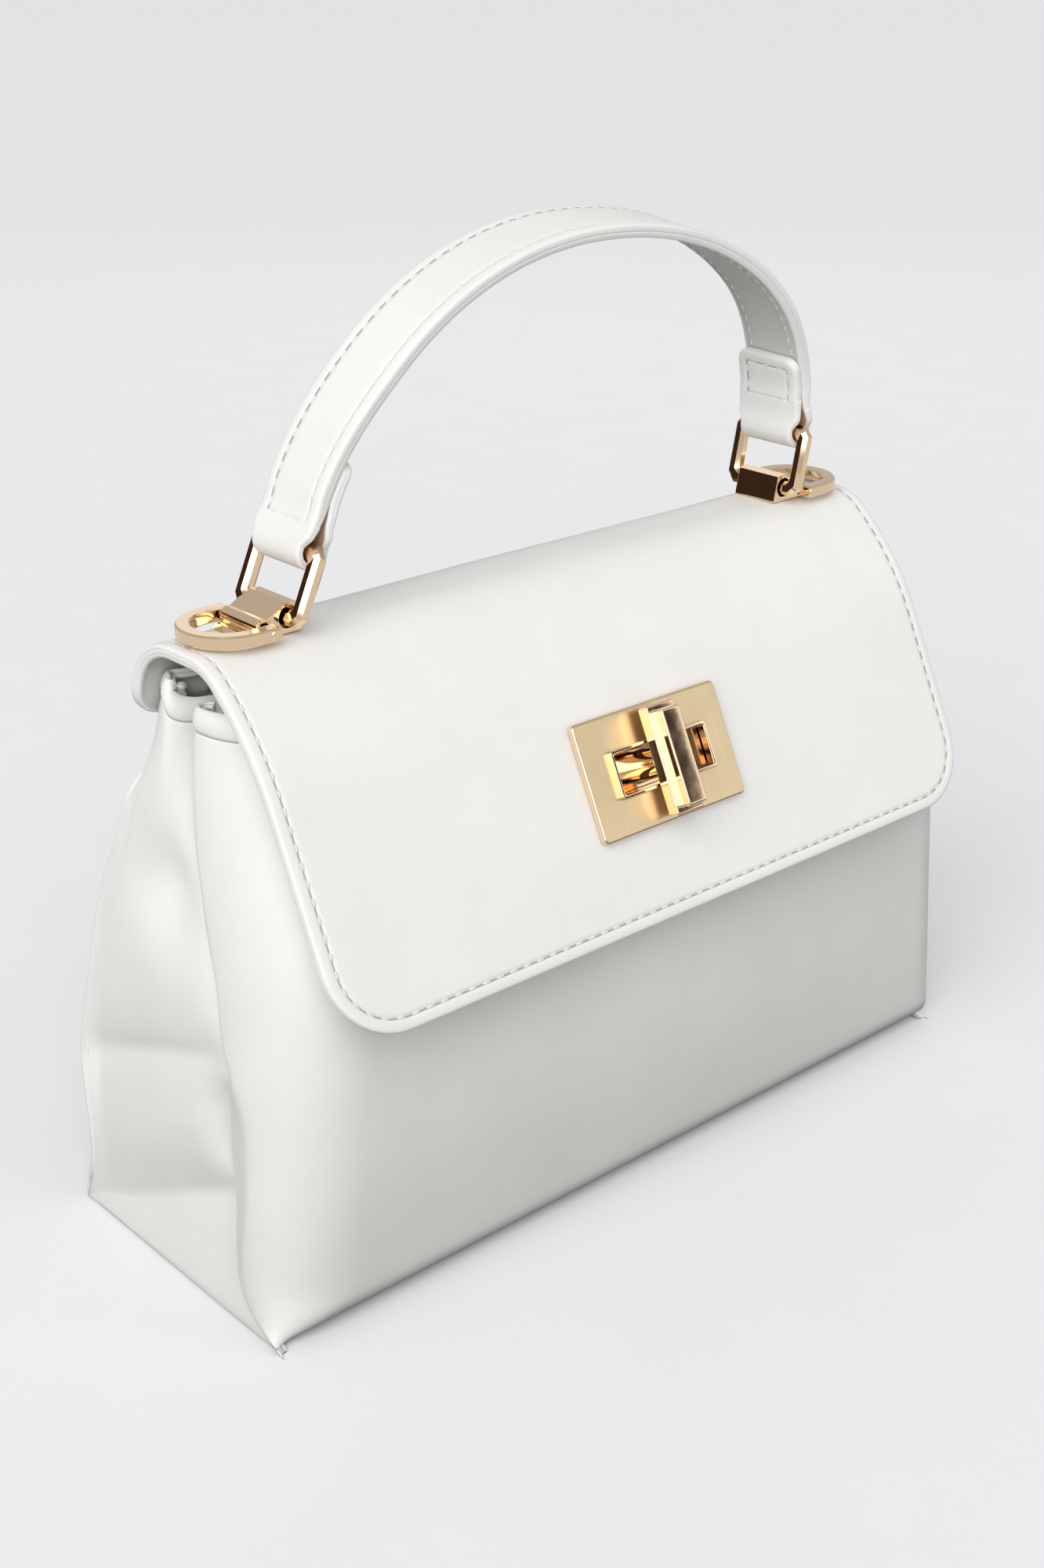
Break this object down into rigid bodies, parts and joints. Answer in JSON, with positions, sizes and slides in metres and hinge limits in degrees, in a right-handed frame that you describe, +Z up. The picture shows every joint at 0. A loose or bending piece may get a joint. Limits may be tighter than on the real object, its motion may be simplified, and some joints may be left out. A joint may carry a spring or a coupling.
{
  "type": "flap shoulder bag",
  "caption": "Structured leather bag with a full flap, a metal turn lock, folded side gussets, a top handle on rectangular rings and swinging D-rings for a shoulder strap.",
  "frame": {"origin": "middle of the bag's flat bottom, on the surface it stands on", "axes": "+X along the width, -Y towards the front and its lock, +Z up towards the handle"},
  "size_m": [0.25, 0.1076, 0.2566],
  "materials": {
    "leather": "warm off-white, fine grain, satin",
    "satin_metal": "pale gold, brushed satin face with polished edges",
    "polished_metal": "pale gold, polished"
  },
  "bodies": {
    "bag": {"body_wrap": "leather", "gusset_left": "leather", "gusset_right": "leather", "flap": "leather", "handle_strap": "leather", "lock_plate": "satin_metal", "lock_neck": "polished_metal", "handle_mount_left": "polished_metal", "handle_mount_right": "polished_metal", "handle_ring_left": "polished_metal", "handle_ring_right": "polished_metal"},
    "turn_bar": {"lock_turn_bar": "polished_metal"},
    "strap_ring_left": {"d_ring_left": "polished_metal"},
    "strap_ring_right": {"d_ring_right": "polished_metal"}
  },
  "joints": [
    {"name": "lock_turn", "type": "hinge", "parent": "bag", "child": "turn_bar", "pos_m": [0, -0.04409, 0.1229], "axis": [0, -0.8969, 0.4422], "range_deg": [0, 90]},
    {"name": "strap_ring_left_swing", "type": "hinge", "parent": "bag", "child": "strap_ring_left", "pos_m": [-0.0936, 0, 0.1706], "axis": [0, 1, 0], "range_deg": [0, 110]},
    {"name": "strap_ring_right_swing", "type": "hinge", "parent": "bag", "child": "strap_ring_right", "pos_m": [0.0936, 0, 0.1706], "axis": [0, -1, 0], "range_deg": [0, 80]}
  ]
}
